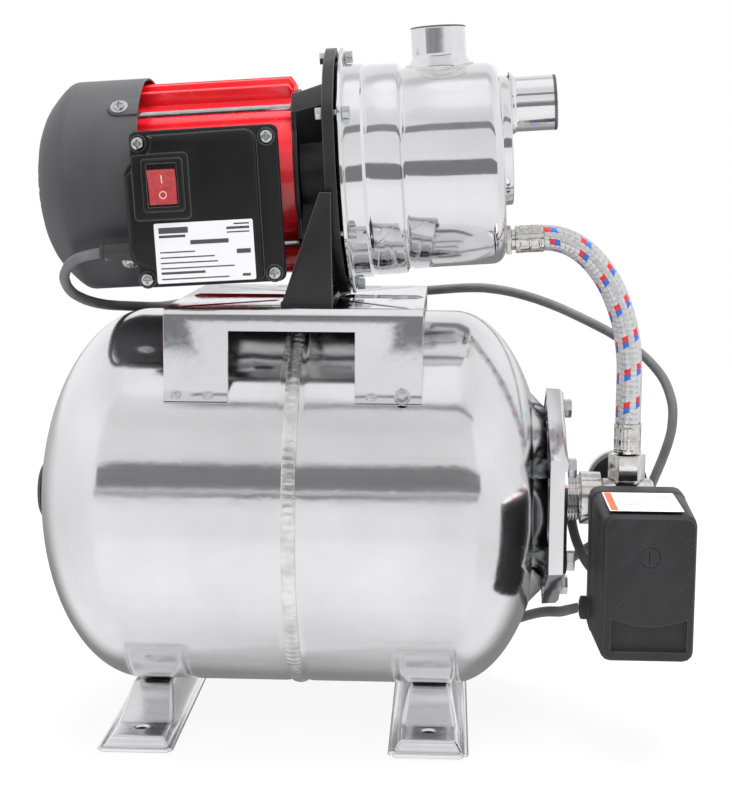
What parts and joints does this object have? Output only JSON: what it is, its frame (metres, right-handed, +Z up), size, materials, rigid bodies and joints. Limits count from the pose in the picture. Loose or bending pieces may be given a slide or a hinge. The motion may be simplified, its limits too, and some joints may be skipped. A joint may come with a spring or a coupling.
{
  "type": "shallow well jet pump",
  "caption": "Self-priming jet pump with motor on a horizontal pressure vessel, with braided hose, pressure gauge and pressure switch for automatic water supply.",
  "frame": {"origin": "middle of the bounding box on the floor under the feet", "axes": "+Z up, +X towards the pump's suction end and the pressure switch, -Y towards the side with the terminal box"},
  "size_m": [0.4846, 0.276, 0.5091],
  "materials": {
    "polished_stainless": "mirror-polished stainless steel",
    "zinc_plated_steel": "zinc-plated steel",
    "nickel_plated_brass": "bright nickel plating on brass",
    "red_paint": "gloss red enamel on die-cast aluminium",
    "black_paint": "semi-gloss black enamel on cast iron",
    "black_plastic": "moulded black plastic",
    "dark_grey_plastic": "satin dark grey plastic with a fine grain",
    "red_plastic": "translucent red rocker plastic",
    "rubber": "matt black rubber",
    "steel_braid": "woven stainless wire with coloured tracer strands",
    "steel_lamination": "stacked electrical steel"
  },
  "bodies": {
    "set": {"air_valve_stem": "nickel_plated_brass", "bearing_front": "zinc_plated_steel", "bearing_rear": "zinc_plated_steel", "braided_hose": "steel_braid", "brass_connector": "nickel_plated_brass", "casing_bolt_1": "zinc_plated_steel", "casing_bolt_2": "zinc_plated_steel", "casing_bolt_3": "zinc_plated_steel", "casing_bolt_4": "zinc_plated_steel", "casing_bolt_5": "zinc_plated_steel", "casing_bolt_6": "zinc_plated_steel", "casing_oring": "rubber", "diffuser": "polished_stainless", "discharge_socket": "polished_stainless", "ejector_venturi": "polished_stainless", "fan_cover": "dark_grey_plastic", "foot_left": "polished_stainless", "foot_right": "polished_stainless", "gauge_case": "black_plastic", "mains_cable": "rubber", "motor_cable": "rubber", "motor_housing": "red_paint", "motor_lantern": "black_paint", "pump_casing": "polished_stainless", "pump_foot": "black_paint", "pump_mount_bracket": "black_paint", "rear_end_shield": "black_paint", "seal_plate": "polished_stainless", "seal_seat": "rubber", "start_capacitor": "zinc_plated_steel", "stator": "steel_lamination", "suction_socket": "polished_stainless", "switch_base": "dark_grey_plastic", "tank_bladder": "rubber", "tank_counter_flange": "polished_stainless", "tank_flange_bolt_1": "zinc_plated_steel", "tank_flange_bolt_2": "zinc_plated_steel", "tank_flange_bolt_3": "zinc_plated_steel", "tank_flange_bolt_4": "zinc_plated_steel", "tank_flange_bolt_5": "zinc_plated_steel", "tank_flange_bolt_6": "zinc_plated_steel", "tank_shell_left": "polished_stainless", "tank_shell_right": "polished_stainless", "terminal_box_base": "black_plastic", "terminal_box_cover": "black_plastic", "tie_rod_1": "zinc_plated_steel", "tie_rod_2": "zinc_plated_steel", "tie_rod_3": "zinc_plated_steel", "tie_rod_4": "zinc_plated_steel"},
    "rotor": {"rotor_shaft": "zinc_plated_steel", "rotor_core": "steel_lamination", "cooling_fan": "black_plastic", "impeller": "nickel_plated_brass", "mechanical_seal": "rubber"},
    "rocker": {"rocker_button": "red_plastic"},
    "gauge_needle": {"gauge_pointer": "black_plastic"},
    "cover": {"switch_cover": "dark_grey_plastic"},
    "screw": {"cover_screw": "dark_grey_plastic"},
    "swivel_nut": {"hose_swivel_nut": "nickel_plated_brass"},
    "valve_cap": {"air_valve_cap": "black_plastic"}
  },
  "joints": [
    {"name": "rotor_spin", "type": "hinge", "parent": "set", "child": "rotor", "pos_m": [-0.01611, 0, 0.4045], "axis": [0.9982, 0, 0.0593], "continuous": true},
    {"name": "rocker_press", "type": "hinge", "parent": "set", "child": "rocker", "pos_m": [-0.12735, -0.098, 0.39679], "axis": [-0.9982, 0, -0.0593], "range_deg": [0, 20]},
    {"name": "gauge_needle_turn", "type": "hinge", "parent": "set", "child": "gauge_needle", "pos_m": [0.19539, 0.0464, 0.171], "axis": [0, -1, 0], "range_deg": [0, 270]},
    {"name": "switch_cover_slide", "type": "slide", "parent": "set", "child": "cover", "axis": [0, -1, 0], "range_m": [0, 0.1]},
    {"name": "cover_screw_turn", "type": "hinge", "parent": "cover", "child": "screw", "pos_m": [0.20209, -0.112, 0.149], "axis": [0, -1, 0], "continuous": true},
    {"name": "swivel_nut_turn", "type": "hinge", "parent": "set", "child": "swivel_nut", "pos_m": [0.19739, 0, 0.19], "axis": [0, 0, 1], "continuous": true},
    {"name": "valve_cap_pull", "type": "slide", "parent": "set", "child": "valve_cap", "axis": [-1, 0, 0], "range_m": [0, 0.02]}
  ]
}
